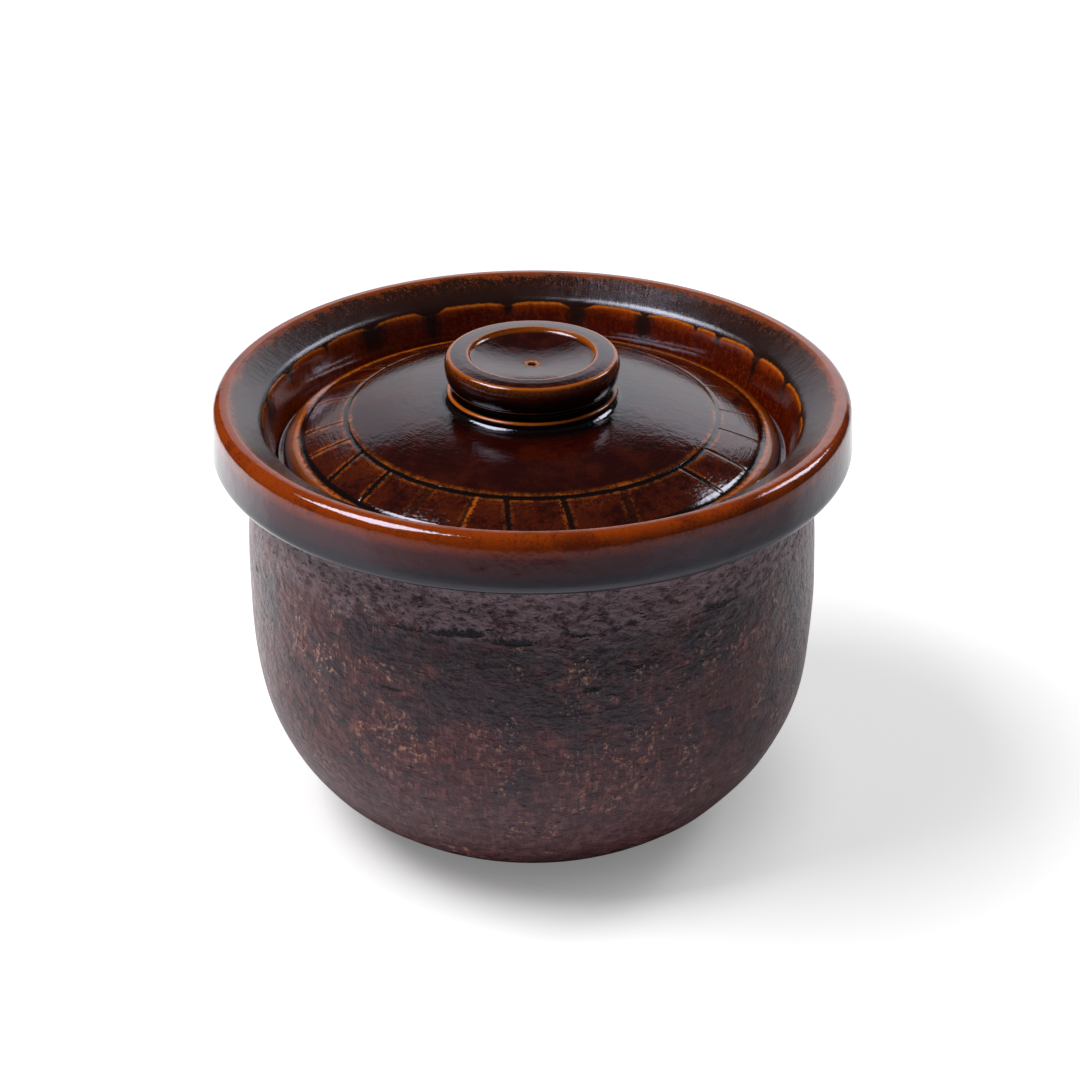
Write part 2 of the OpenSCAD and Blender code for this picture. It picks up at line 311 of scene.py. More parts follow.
class StudioSettings(bpy.types.PropertyGroup):
    """Paper, lamps and camera."""

    paper_left: length("Paper left", -0.55, "Left edge of the paper")
    paper_right: length("Paper right", 0.67, "Right edge of the paper")
    paper_front: length("Paper front", -0.53, "Front edge of the paper")
    paper_bend: length("Paper bend", 0.62, "Where the paper starts to curve up behind")
    paper_sweep: length("Paper sweep", 0.34, "Radius of that curve")
    paper_top: length("Paper top", 0.86, "Height of the paper's top edge")
    lens: amount("Lens", 75.8, "Focal length of the camera in millimetres")


# Shapes


def wire(corners, closed=False):
    """Wire in the XZ plane through corners (radius, height, rounding), rounded by the bevel operator."""
    shape = bmesh.new()
    verts = [shape.verts.new((radius, 0.0, height)) for radius, height, _ in corners]
    for first, second in zip(verts, verts[1:]):
        shape.edges.new((first, second))
    if closed:
        shape.edges.new((verts[-1], verts[0]))
    for vert, (_, _, rounding) in zip(verts, corners):
        if rounding:
            sides = [(edge.other_vert(vert).co - vert.co).normalized() for edge in vert.link_edges]
            reach = rounding / math.tan(sides[0].angle(sides[1]) / 2)
            bmesh.ops.bevel(
                shape,
                geom=[vert],
                offset=reach,
                offset_type="OFFSET",
                segments=8,
                profile=0.5,
                affect="VERTICES",
                material=-1,
            )
    return shape


def divide(shape, spacing):
    """Cuts every edge of a wire so that none is longer than spacing."""
    for edge in list(shape.edges):
        cuts = math.ceil(edge.calc_length() / spacing) - 1
        if cuts > 0:
            bmesh.ops.subdivide_edges(shape, edges=[edge], cuts=cuts)


def turn(shape, count):
    """Turns a wire once round the pot's axis in equal steps and closes the seam and the poles."""
    angle = TURN / SECTORS
    bmesh.ops.spin(
        shape,
        geom=shape.verts[:] + shape.edges[:],
        cent=(0.0, 0.0, 0.0),
        axis=(0.0, 0.0, 1.0),
        angle=angle,
        steps=count // SECTORS,
        use_merge=False,
        use_duplicate=False,
    )
    while angle < TURN:
        made = bmesh.ops.duplicate(shape, geom=shape.verts[:] + shape.edges[:] + shape.faces[:])
        copied = [item for item in made["geom"] if isinstance(item, bmesh.types.BMVert)]
        bmesh.ops.rotate(shape, verts=copied, cent=(0, 0, 0), matrix=Matrix.Rotation(angle, 3, "Z"))
        angle *= 2
    bmesh.ops.remove_doubles(shape, verts=shape.verts[:], dist=MERGE)
    bmesh.ops.dissolve_degenerate(shape, edges=shape.edges[:], dist=MERGE)
    bmesh.ops.recalc_face_normals(shape, faces=shape.faces[:])


def weigh_zones(shape, girth):
    """Gives every vertex its share of the dark and the tan zones, as numbers for the clay's material."""
    for name, zones in (("dark_zone", DARK_ZONES), ("tan_zone", TAN_ZONES)):
        layer = shape.verts.layers.float.new(name)
        for vert in shape.verts:
            angle = angle_of(vert.co)
            for centre, height, half_width, half_height, weight in zones:
                along = math.radians(apart(angle, centre)) * girth / half_width
                rise = (vert.co.z / MM - height) / half_height
                vert[layer] += weight * math.exp(-(along**2) - rise**2)


def piece(shape, name, body, node, material):
    """Makes a turned shape an object that stands for a frame node and moves with its body."""
    mesh = bpy.data.meshes.new(name)
    shape.to_mesh(mesh)
    shape.free()
    mesh.shade_smooth()
    mesh.set_sharp_from_angle(angle=math.radians(SHARP))
    mesh.materials.append(material)
    made = bpy.data.objects.new(name, mesh)
    bpy.context.scene.collection.objects.link(made)
    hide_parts(node)
    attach(made, body)


def angle_of(co):
    """Angle of a point round the axis, in degrees from 0 to 360."""
    return math.degrees(math.atan2(co.y, co.x)) % 360


def apart(first, second):
    """Signed difference of two angles in degrees, from -180 to 180."""
    return (first - second + 180) % 360 - 180


def fade(value, start, end):
    """Smooth step of value from 0 at start to 1 at end."""
    x = min(1.0, max(0.0, (value - start) / (end - start)))
    return x * x * (3 - 2 * x)


# Shader maths


class Value:
    """A number or a vector in a material. Arithmetic on it adds the nodes that work it out."""

    def __init__(self, shader, socket):
        self.shader = shader
        self.socket = socket

    def maths(self, operation, *others):
        return self.shader.node("ShaderNodeMath", {"operation": operation}, [self, *others])

    def __add__(self, other):
        return self.maths("ADD", other)

    def __mul__(self, other):
        return self.maths("MULTIPLY", other)

    def __sub__(self, other):
        return self.maths("SUBTRACT", other)

    def __truediv__(self, other):
        return self.maths("DIVIDE", other)

    def __rsub__(self, other):
        return self.shader.node("ShaderNodeMath", {"operation": "SUBTRACT"}, [other, self])

    def __pow__(self, other):
        return self.maths("POWER", other)

    __radd__ = __add__

    def size(self):
        return self.maths("ABSOLUTE")

    def least(self, other):
        return self.maths("MINIMUM", other)

    def most(self, other):
        return self.maths("MAXIMUM", other)

    def step(self, start, end):
        """Smooth step from 0 at start to 1 at end; start may be the larger one."""
        inputs = {0: self, 1: start, 2: end, 3: 0.0, 4: 1.0}
        return self.shader.node("ShaderNodeMapRange", {"interpolation_type": "SMOOTHSTEP"}, inputs)

    def near(self, centre, inner, outer):
        """1 within inner of centre, fading to 0 at outer."""
        return (self - centre).size().step(outer, inner)


class Shader:
    """Builds the nodes of one material."""

    def __init__(self, name):
        self.material = bpy.data.materials.new(name)
        self.material.use_nodes = True
        self.tree = self.material.node_tree
        self.tree.nodes.clear()
        self.output = self.tree.nodes.new("ShaderNodeOutputMaterial")
        self.place = self.scaled(self.node("ShaderNodeTexCoord", {}, {}, "Object"), 1 / MM)
        axes = self.node("ShaderNodeSeparateXYZ", {}, [self.place], None)
        self.x = Value(self, axes.outputs[0])
        self.y = Value(self, axes.outputs[1])
        self.z = Value(self, axes.outputs[2])
        self.radius = (self.x * self.x + self.y * self.y) ** 0.5
        flat = self.node("ShaderNodeCombineXYZ", {}, [self.x, self.y, 0.0])
        self.heading = self.node("ShaderNodeVectorMath", {"operation": "NORMALIZE"}, [flat])

    def node(self, kind, choices, inputs, output=0):
        """Adds a node: its settings first, then its inputs, given as values or as links."""
        made = self.tree.nodes.new(kind)
        for key, value in choices.items():
            setattr(made, key, value)
        pairs = inputs.items() if isinstance(inputs, dict) else enumerate(inputs)
        for key, value in pairs:
            if isinstance(value, Value):
                self.tree.links.new(value.socket, made.inputs[key])
            else:
                made.inputs[key].default_value = value
        return made if output is None else Value(self, made.outputs[output])

    def scaled(self, vector, scale):
        """Vector times a number."""
        return self.node("ShaderNodeVectorMath", {"operation": "SCALE"}, {0: vector, "Scale": scale})

    def stretched(self, vector, factors):
        """Vector with each axis times its own factor."""
        return self.node("ShaderNodeVectorMath", {"operation": "MULTIPLY"}, [vector, factors])

    def moved(self, vector, offset):
        """Vector moved by an offset."""
        return self.node("ShaderNodeVectorMath", {"operation": "ADD"}, [vector, offset])

    def around(self, spread, height, across=0.0):
        """Place on the turned wall: spread for the way round, height and radius scaled apart."""
        ring = self.scaled(self.heading, spread)
        rise = self.node("ShaderNodeCombineXYZ", {}, [self.radius * across, 0.0, self.z * height])
        return self.moved(ring, rise)

    def noise(self, vector, scale, detail, rough, warp=0.0):
        """Fractal noise from 0 to 1 about 0.5."""
        return self.node(
            "ShaderNodeTexNoise",
            {"noise_dimensions": "3D"},
            {"Vector": vector, "Scale": scale, "Detail": detail, "Roughness": rough, "Distortion": warp},
        )

    def vector_noise(self, vector, scale):
        """Noise in three axes at once, each from 0 to 1 about 0.5."""
        return self.node("ShaderNodeTexNoise", {}, {"Vector": vector, "Scale": scale, "Detail": 2.0}, "Color")

    def dotted(self, vector, direction):
        """Length of a vector along a direction."""
        return self.node("ShaderNodeVectorMath", {"operation": "DOT_PRODUCT"}, [vector, direction], "Value")

    def attribute(self, name):
        """A number that the mesh carries."""
        return self.node("ShaderNodeAttribute", {"attribute_name": name}, {}, "Fac")

    def mix(self, first, second, factor):
        """Blends two colours, each a colour setting or worked out by nodes."""
        first, second = (tint if isinstance(tint, Value) else (*tint, 1.0) for tint in (first, second))
        return self.node("ShaderNodeMix", {"data_type": "RGBA"}, {0: factor, 6: first, 7: second}, 2)

    def layered(self, tint, *layers):
        """Colour with others laid over it in turn, each given with its share."""
        for over, share in layers:
            tint = self.mix(tint, over, share)
        return tint

    def ends_in(self, surface):
        """Ends the material in a surface shader."""
        self.tree.links.new(surface.socket, self.output.inputs["Surface"])
        return self.material

    def fired(self, tint, roughness, relief, ior=GLAZE_IOR):
        """Ends the material in fired clay or glaze, with a relief given in millimetres."""
        normal = self.node("ShaderNodeBump", {}, {"Height": relief, "Distance": MM, "Strength": 1.0})
        looks = {"Base Color": tint, "Roughness": roughness, "Normal": normal}
        looks.update({"IOR": ior, "Specular Tint": SHEEN})
        return self.ends_in(self.node("ShaderNodeBsdfPrincipled", {}, looks))


def clay(s, size):
    """Colour, roughness and relief of the rough stoneware: mottled, pitted, with cloth-like upright marks."""
    girth = size.belly_radius / MM
    fine = s.noise(s.place, 0.9, 5.0, 0.65)
    cloud = s.noise(s.place, 0.04, 4.0, 0.6)
    patch = s.noise(s.stretched(s.place, (1.0, 1.0, 1.4)), 0.1, 5.0, 0.65, 0.4)
    lump = s.noise(s.stretched(s.place, (1.0, 1.0, 1.5)), 0.26, 4.0, 0.6)
    thread = s.noise(s.around(110.0, 0.13), 1.0, 3.0, 0.65)
    cloth = s.noise(s.around(62.0, 0.3), 1.0, 5.0, 0.75)
    smooth = (s.z + (cloud - 0.5) * 12.0).step(16.0, 6.0)
    shoulder = (s.z + (patch - 0.5) * 22.0).step(106.0, 117.0)
    dark_zone = s.attribute("dark_zone")
    tan_zone = s.attribute("tan_zone")

    # Red brown, with the slip thicker and blacker in clouds, and rubbed through in upright threads
    thick = (patch * 0.55 + cloud * 0.45 + dark_zone * 0.13).step(0.48, 0.6)
    # Painted reflection: the low zone gets purple grey ash and less blue black shade, standing in for the
    # lilac sheen of the lit floor
    low = s.z.step(66.0, 40.0)
    warm = (thread * 0.35 + cloth * 0.3 + lump * 0.35).step(0.49, 0.58)
    warm = warm * (1.0 - thick * 0.8) * (1.0 - shoulder * 0.5)
    pale = shoulder * (lump * 0.55 + patch * 0.25 + fine * 0.2).step(0.4, 0.54)
    tint = s.layered(
        size.body,
        (size.ash, (cloud * 0.5 + lump * 0.5).step(0.47, 0.6) * 0.3),
        (size.ash, low * (lump * 0.5 + cloth * 0.5).step(0.42, 0.58) * 0.45),
        (size.shade, thick * (1.0 - low * 0.6) * 0.8),
        (size.shade, (thread * 0.5 + fine * 0.5).step(0.46, 0.39) * 0.5),
        (size.rust, warm * (0.55 + tan_zone.least(1.0) * 0.4)),
        (size.pale, pale * 0.8),
    )

    # Pits and short level scars with ragged edges, and the long scars dragged at the same heights
    spots = s.moved(s.stretched(s.place, (1.0, 1.0, 1.8)), s.scaled(s.vector_noise(s.place, 0.45), 2.4))
    busy = (cloud * 0.4 + dark_zone * 0.5 + shoulder * 0.2).step(0.2, 0.55)
    pits = (s.noise(spots, 0.36, 4.0, 0.62) + busy * 0.035).step(0.655, 0.69)
    scars = s.noise(s.stretched(spots, (0.4, 0.4, 1.3)), 0.34, 5.0, 0.65).step(0.645, 0.68)
    hollows = (pits + scars * (0.2 + busy * 0.8)).least(1.0)
    wobble = s.noise(s.place, 0.75, 4.0, 0.7) - 0.5
    for angle, height, half_length, half_height in SCARS:
        a = math.radians(angle)
        along = s.dotted(s.heading, (-math.sin(a), math.cos(a), 0.0)) * (girth / half_length)
        rise = (s.z + wobble * 4.0 - height) / half_height
        facing = s.dotted(s.heading, (math.cos(a), math.sin(a), 0.0)).step(0.0, 0.2)
        hollows = hollows.most((along * along + rise * rise + wobble * 5.0).step(1.7, 0.6) * facing)
    hollows = hollows * (1.0 - smooth)
    tint = s.layered(tint, (size.shade, hollows * 0.6), (size.scar, hollows.step(0.3, 0.9) * 0.92))

    # Bare grains on the high spots, thickest in a few clusters
    grains = (fine * 0.35 + cloth * 0.35 + lump * 0.3).step(0.525, 0.59)
    worn = (s.noise(s.moved(s.place, (40.0, 9.0, 5.0)), 0.08, 4.0, 0.65) + tan_zone * 0.13).step(0.52, 0.64)
    bare = grains * worn * (1.0 - hollows) * (1.0 - smooth)
    tint = s.layered(tint, (size.fleck, bare * 0.85), (size.body, smooth * 0.8))

    rough = 0.6 + shoulder * 0.5
    grit = (lump - 0.5) * 1.6 + (fine - 0.5) * 0.22 + (cloth - 0.5) * 0.26
    relief = ((patch - 0.5) * 1.6 + grit * rough) * (1.0 - smooth * 0.9) - hollows * 0.9
    roughness = 0.32 + (fine - 0.5) * 0.3 + hollows * 0.2 - smooth * 0.06 + shoulder * 0.06
    return tint, roughness, relief


def bowl_clay(size):
    """Rough stoneware of the bowl."""
    s = Shader("bowl_clay")
    tint, roughness, relief = clay(s, size)
    return s.fired(tint, roughness, relief, CLAY_IOR)


def collar_glaze(size, bowl):
    """Amber glaze, thin and glowing on the arris, with black iron brushed over the flare."""
    s = Shader("collar_glaze")
    arris = (RIM_HEIGHT - size.arris_drop) / MM
    crest = size.crest_radius / MM
    rim = RIM_HEIGHT / MM
    underside = (RIM_HEIGHT - size.drop) / MM
    grain = s.noise(s.place, 0.9, 4.0, 0.6)
    speck = s.noise(s.place, 2.2, 3.0, 0.7)
    cloud = s.noise(s.place, 0.07, 3.0, 0.55)
    brush = s.noise(s.around(60.0, 0.18, 0.18), 1.0, 4.0, 0.6)
    ragged = s.noise(s.around(34.0, 0.3, 0.3), 1.0, 5.0, 0.7)
    streak = s.noise(s.around(110.0, 0.05, 0.0), 1.0, 3.0, 0.6)
    fine = s.noise(s.around(150.0, 0.35, 0.35), 1.0, 4.0, 0.7)

    # Outer side: amber with fine dark specks and upright streaks, that deepens towards the lower edge
    low = s.z + (grain - 0.5) * 3.0 + (cloud - 0.5) * 5.0
    outside = s.layered(
        size.amber,
        (size.deep, (cloud * 0.6 + grain * 0.4).step(0.46, 0.62) * 0.6),
        (size.glow, (streak * 0.25 + grain * 0.45 + fine * 0.3).step(0.5, 0.62) * 0.16),
        (size.iron, (speck * 0.6 + grain * 0.4).step(0.53, 0.62) * 0.6),
        (size.deep, low.step(rim - 4.5, rim - 8.0) * 0.9),
        (size.iron, low.step(rim - 7.0, rim - 13.0) * 0.5),
        (size.iron, low.near(rim - 14.5, 0.5, 2.2) * 0.9),
        # Dark glaze along the lower edge; its blue black over the bevel is a painted reflection of the shaded
        # floor
        (size.slate, low.step(rim - 15.0, rim - 17.0) * 0.9),
    )

    # Flare: worn orange along the crest, then black iron with ragged radial edges down to the arris
    inward = crest - s.radius
    wear = inward + (ragged - 0.5) * 6.0 + (speck - 0.5) * 3.0 + (grain - 0.5) * 4.5 + (cloud - 0.5) * 3.5
    specks = (speck * 0.5 + grain * 0.5).step(0.49, 0.57) * inward.step(0.2, 1.2)
    rubbed = (fine * 0.3 + speck * 0.3 + grain * 0.4).step(0.5, 0.58) * inward.step(9.0, 1.0)
    flare = s.layered(
        size.russet,
        (size.amber, (brush * 0.4 + grain * 0.6).step(0.44, 0.56)),
        (size.iron, specks * 0.9),
        (size.iron, wear.step(0.6, 2.0) * 0.95),
        (size.russet, rubbed * 0.6),
    )

    # Well wall: arches of amber between runs of dark glaze
    distance = s.attribute("run_distance")
    half = s.attribute("run_half")
    depth = s.attribute("run_depth")
    reach = s.attribute("run_reach")
    spread = s.attribute("run_spread")
    below = arris - s.z + (streak - 0.5) * 0.3
    drift = (ragged - 0.5) * 2.4 + (brush - 0.5) * 1.6
    dip = ((distance + drift * 0.5) / half).step(1.7, 0.5)
    border = 0.2 - distance.step(0.0, 9.0) * 0.5 + dip * depth * 0.3 + (ragged - 0.5) * 0.9
    over = (below - border).step(0.25, -0.3)
    soft = ((distance + drift + below * 0.12) / spread).step(1.25, 0.25)
    run = soft * (below / reach).step(1.5, 0.6)
    # Painted light: the deep glaze thins towards the left of the well's wall, so that side reads as lit
    lit = s.dotted(s.heading, (-1.0, 0.0, 0.0)).step(0.4, 0.95)
    deeper = (below + (cloud - 0.5) * 6.0).step(-0.6, 4.0) * (0.98 - lit * 0.45)
    closed = (1.0 - dip * 0.95) * (0.45 + (grain * 0.5 + brush * 0.5).step(0.42, 0.56) * 0.55)
    halo = (below - border).step(2.2, 0.2) * closed * (1.0 - run)
    line = (below - border).near(0.35, 0.15, 0.7) * closed
    wall = s.layered(
        size.amber,
        (size.deep, deeper),
        (size.amber, (brush * 0.4 + grain * 0.6).step(0.5, 0.6) * 0.3),
        (size.deep, (brush * 0.5 + grain * 0.5).step(0.5, 0.42) * below.step(0.5, 2.0) * 0.6),
        (size.iron, (speck * 0.5 + cloud * 0.5).step(0.54, 0.62) * 0.55),
        (size.iron, run * 0.95),
        (size.glow, halo * 0.2),
        (size.glow, line * 0.85),
    )

    # The three together, with russet worn over the crest, and the neck luted over with the bowl's own clay
    inside = s.radius.step(crest + 0.05, crest - 0.05)
    worn = (s.radius + (ragged - 0.5) * 0.8).near(crest + 0.9, 0.6, 1.9) * s.z.step(rim - 1.4, rim - 0.5)
    clay_tint, clay_roughness, clay_relief = clay(s, bowl)
    neck = s.z.step(underside + 0.9, underside + 0.3)
    tint = s.layered(
        outside,
        (s.mix(wall, flare, over), inside),
        (size.russet, worn * grain.step(0.4, 0.6) * 0.7),
        (clay_tint, neck),
    )

    relief = (cloud - 0.5) * 0.3 + (streak - 0.5) * 0.02 + (grain - 0.5) * 0.02 + (speck - 0.5) * 0.008
    relief = relief + ((brush - 0.5) * 0.06 + (fine - 0.5) * 0.07 + (speck - 0.5) * 0.04) * inside * over
    roughness = 0.08 + grain.step(0.5, 0.8) * 0.05 + inside * over * 0.02
    return s.fired(
        tint, roughness + (clay_roughness - roughness) * neck, relief + (clay_relief - relief) * neck
    )


def lid_glaze(size, knob):
    """Dark red glaze, black in the cuts and grooves and amber on their arrises."""
    s = Shader("lid_glaze")
    inner = size.inner_groove / MM
    outer = size.outer_groove / MM
    arris = size.arris_radius / MM
    half = size.groove_half / MM
    grain = s.noise(s.place, 1.1, 4.0, 0.6)
    speck = s.noise(s.place, 2.4, 3.0, 0.7)
    cloud = s.noise(s.place, 0.09, 4.0, 0.6)
    rings = s.noise(s.around(9.0, 0.4, 1.3), 1.0, 4.0, 0.6)
    ripple = s.noise(s.place, 0.35, 3.0, 0.6)
    spell = s.noise(s.around(7.0, 0.05), 1.0, 3.0, 0.6)
    wander = (ripple - 0.5) * 0.6
    radius = s.radius + wander

    # Field inside the inner groove, and the warmer band outside it
    band = radius.step(inner - 0.4, inner + 0.8)
    mottled = (cloud * 0.4 + grain * 0.6).step(0.48, 0.64)
    mottled = mottled * (0.3 + radius.step(inner + 7.0, inner + 1.0) * 0.7)
    tint = s.layered(
        size.field,
        (size.mottle, (cloud * 0.7 + grain * 0.3).step(0.46, 0.62) * 0.55),
        (size.mottle, rings.step(0.52, 0.7) * 0.35),
        (size.pool, speck.step(0.56, 0.68) * 0.5),
        (size.mottle, band * (cloud * 0.4 + ripple * 0.6).step(0.4, 0.6)),
        (size.glow, band * mottled * 0.15),
        (size.pool, band * (speck * 0.5 + ripple * 0.5).step(0.54, 0.64) * 0.6),
    )

    # Lip: darkens from its arris down to the seat, as painted shade in the gap beside the collar's well
    over = radius.step(arris + 2.0, arris + 5.2)
    lip = radius.step(arris, arris + 0.8) * (1.0 - over) * (0.2 + grain * 0.3)
    tint = s.layered(tint, (size.glow, lip), (size.pool, over * 0.6))

    # Arrises of the two turned grooves and of the lip, the inner groove's brighter in spells
    comes = spell.step(0.42, 0.6)
    edge = inner - half + 0.3
    before_groove = radius.step(edge - 1.9, edge) * radius.step(edge + 0.5, edge)
    after_groove = radius.near(inner + half + 0.1, 0.1, 0.9)
    inner_edge = before_groove * (0.2 + comes * 0.6) + after_groove * (0.15 + comes * 0.35)
    outer_edge = radius.near(arris + 0.5, 0.2, 1.2) * 0.9
    edges = (inner_edge + outer_edge) * (0.2 + (grain * 0.5 + ripple * 0.5).step(0.4, 0.58) * 0.8)

    # Cut lines, with the glaze thinner towards them
    between = radius.step(inner - 0.2, inner + 0.6) * radius.step(outer + 0.2, outer - 0.6)
    distance = s.attribute("cut_distance") + (grain - 0.5) * 0.6 + (ripple - 0.5) * 0.7
    cut_half = s.attribute("cut_half")
    bright = s.attribute("cut_glow")
    filled = (distance - cut_half).step(0.45, -0.15) * between
    glow = (distance - cut_half).near(0.7, 0.1, 1.1) * bright * between
    glow = glow * (grain * 0.5 + ripple * 0.5).step(0.44, 0.56)
    thin = (distance - cut_half).step(2.4, 0.0) * (0.06 + bright * 0.24) * between
    thinned = (edges + glow + thin * grain.step(0.35, 0.65)).least(0.8)
    grooves = radius.near(inner, half - 0.6, half - 0.2) + radius.near(outer, half - 0.6, half - 0.2)
    dark = (grooves + filled * s.attribute("cut_fill")).least(1.0)

    # Black pool round the foot of the knob
    knob_foot = knob.foot_radius / MM
    foot = (s.radius + (ripple - 0.5) * 3.0).step(knob_foot + 7.0, knob_foot + 2.0)
    tint = s.layered(tint, (size.glow, thinned), (size.pool, dark * 0.95), (size.pool, foot * 0.9))

    relief = (cloud - 0.5) * 0.12 + (rings - 0.5) * 0.06 + (ripple - 0.5) * 0.07 + (grain - 0.5) * 0.02
    return s.fired(tint, 0.06 + grain.step(0.5, 0.8) * 0.05, relief)


def knob_glaze(size, lid):
    """The lid's glaze on the knob, with bright arrises and a bare pit in the dish."""
    s = Shader("knob_glaze")
    top = TOP_HEIGHT / MM
    dish = size.dish_radius / MM
    arris = size.arris_radius / MM
    foot = top - size.foot_drop / MM
    grain = s.noise(s.place, 1.3, 4.0, 0.6)
    cloud = s.noise(s.place, 0.16, 4.0, 0.6)
    brush = s.noise(s.around(26.0, 0.3, 0.1), 1.0, 3.0, 0.6)
    ripple = s.noise(s.place, 0.5, 3.0, 0.6)
    wander = (ripple - 0.5) * 0.35
    radius = s.radius + wander

    side = (s.z + wander * 2.0).step(top - 4.6, top - 1.0) * s.radius.step(arris - 0.5, arris)
    # The disc's underside and the waist turn black: black glaze, with the shade under the disc painted in
    waist = (s.z + wander * 2.0).step(top - 4.4, top - 6.6)
    tint = s.layered(
        lid.field,
        (lid.mottle, cloud.step(0.45, 0.7) * 0.6),
        (lid.glow, side * (0.1 + (grain * 0.6 + brush * 0.4).step(0.42, 0.6) * 0.25)),
        (lid.pool, waist),
    )

    # Arrises, where the glaze runs thin
    rim = s.z.step(top - 1.9, top - 0.3)
    dish_edge = radius.near(dish - 0.3, 0.35, 1.5) * rim * (0.6 + grain * 0.5)
    disc_edge = radius.near(arris + 0.2, 0.2, 0.9) * s.z.step(top - 2.4, top - 1.2) * 0.8
    foot_edge = (s.z + wander * 0.8).near(foot - 0.15, 0.25, 0.65) * s.radius.step(27.0, 27.6)
    speckle = grain.step(0.25, 0.4)
    edges = (dish_edge + disc_edge + foot_edge).least(1.0) * speckle

    # Pit in the middle of the dish, with a tiny one beside it, placed in millimetres from the axis
    tiny_x, tiny_y = 3.6, -2.6
    in_dish = s.z.step(top - 1.5, top - 2.5)
    ragged = s.radius + (s.noise(s.place, 0.9, 3.0, 0.6) - 0.5) * 2.4
    halo = ragged.step(3.4, 1.9) * in_dish
    across, along = s.x - tiny_x, s.y - tiny_y
    beside = (across * across + along * along) ** 0.5
    tint = s.layered(
        tint,
        (lid.glow, edges),
        (lid.glow, halo * 0.8),
        (size.bare, ragged.step(2.2, 1.6) * in_dish * grain.step(0.4, 0.56)),
        # Painted shade: black in the tiny pit, which has no hollow of its own, and in the bottom of the main
        # pit
        (lid.pool, (beside + (grain - 0.5) * 2.0).step(1.0, 0.5) * in_dish),
        (lid.pool, s.z.step(top - 4.3, top - 5.0) * s.radius.step(4.0, 3.0)),
    )

    relief = (cloud - 0.5) * 0.08 + (grain - 0.5) * 0.014 + (brush - 0.5) * 0.04 + (ripple - 0.5) * 0.05
    relief = relief - halo * grain * 0.25
    return s.fired(tint, 0.07 + grain.step(0.5, 0.8) * 0.05, relief)


# Pieces


class POT_OT_bowl(bpy.types.Operator):
    """Throw the bowl"""

    bl_idname = "pot.bowl"
    bl_label = "Bowl"

    def execute(self, context):
        size = context.scene.pot_bowl
        outer_steps, inner_steps = 70, 30

        def radius_at(height, belly, top, depth):
            """Radius of the wall at a height: a squarish curve below the belly, a slight one above it."""
            if height < size.belly_height:
                return belly * (1 - ((size.belly_height - height) / depth) ** size.fullness) ** 0.5
            rise = (height - size.belly_height) / (LUTING_HEIGHT - size.belly_height)
            return belly - (belly - top) * rise**2

        outside = [
            (radius_at(z, size.belly_radius, size.neck_radius, size.belly_depth), z, 0)
            for z in (LUTING_HEIGHT * (i / outer_steps) ** 1.15 for i in range(outer_steps + 1))
        ]
        rise = LUTING_HEIGHT - size.base_thickness
        belly = size.belly_radius - size.belly_wall
        throat = size.neck_radius - size.neck_wall
        depth = size.belly_depth - size.corner_wall
        inside = [
            (radius_at(z, belly, throat, depth), z, 0)
            for z in (size.base_thickness + rise * i / inner_steps for i in range(inner_steps, -1, -1))
        ]
        shape = wire([(0, 0, 0), *outside, *inside, (0, size.base_thickness, 0)])
        divide(shape, 6 * MM)
        turn(shape, 480)

        # The wall strays a little from a true curve, less towards the foot and the luting line
        foot_zone, luting_zone, wall_zone = 20 * MM, 12 * MM, 20 * MM
        broad, close = 22.0, 55.0
        for vert in shape.verts:
            place = vert.co
            radius = math.hypot(place.x, place.y)
            free = fade(place.z, 0.0, foot_zone) * fade(place.z, LUTING_HEIGHT, LUTING_HEIGHT - luting_zone)
            if free > 0 and radius > size.belly_radius - wall_zone:
                wave = noise.noise(place * broad) + 0.5 * noise.noise(place * close)
                place.xy *= 1 + size.unevenness * free * wave / radius
        weigh_zones(shape, size.belly_radius / MM)
        piece(shape, "bowl_wall", "pot", "pot_bowl", bowl_clay(size))
        return {"FINISHED"}


class POT_OT_collar(bpy.types.Operator):
    """Roll the collar onto the bowl"""

    bl_idname = "pot.collar"
    bl_label = "Collar"

    def execute(self, context):
        bowl, size = context.scene.pot_bowl, context.scene.pot_collar
        low = RIM_HEIGHT - size.drop
        ledge = RIM_HEIGHT - size.ledge_drop
        throat = bowl.neck_radius - bowl.neck_wall
        corners = [
            (size.mouth_radius, LUTING_HEIGHT + 1.5 * MM, 1 * MM),
            (size.mouth_radius, ledge, 1 * MM),
            (size.well_radius, ledge, 1 * MM),
            (size.flare_radius, RIM_HEIGHT - size.flare_drop, size.flare_round),
            (size.crest_radius, RIM_HEIGHT, 1.2 * MM),
            (size.shoulder_radius, RIM_HEIGHT, 3.6 * MM),
            (COLLAR_RADIUS, low + size.bevel_height, 3.5 * MM),
            (COLLAR_RADIUS - size.bevel_width, low, 1 * MM),
            (bowl.neck_radius, low, 1 * MM),
            (bowl.neck_radius, LUTING_HEIGHT, 0),
            (throat, LUTING_HEIGHT, 0),
        ]
        shape = wire(corners, closed=True)
        divide(shape, 1.4 * MM)
        turn(shape, 720)
        weigh_zones(shape, bowl.belly_radius / MM)
        layers = [shape.verts.layers.float.new("run_" + key) for key in RUN_KEYS]
        for vert in shape.verts:
            angle = angle_of(vert.co)
            run = min(GLAZE_RUNS, key=lambda item: abs(apart(angle, item[0])))
            arc = math.radians(abs(apart(angle, run[0]))) * size.flare_radius / MM
            for layer, value in zip(layers, (arc, *run[1:])):
                vert[layer] = value
        piece(shape, "collar_wall", "pot", "pot_collar", collar_glaze(size, bowl))
        return {"FINISHED"}


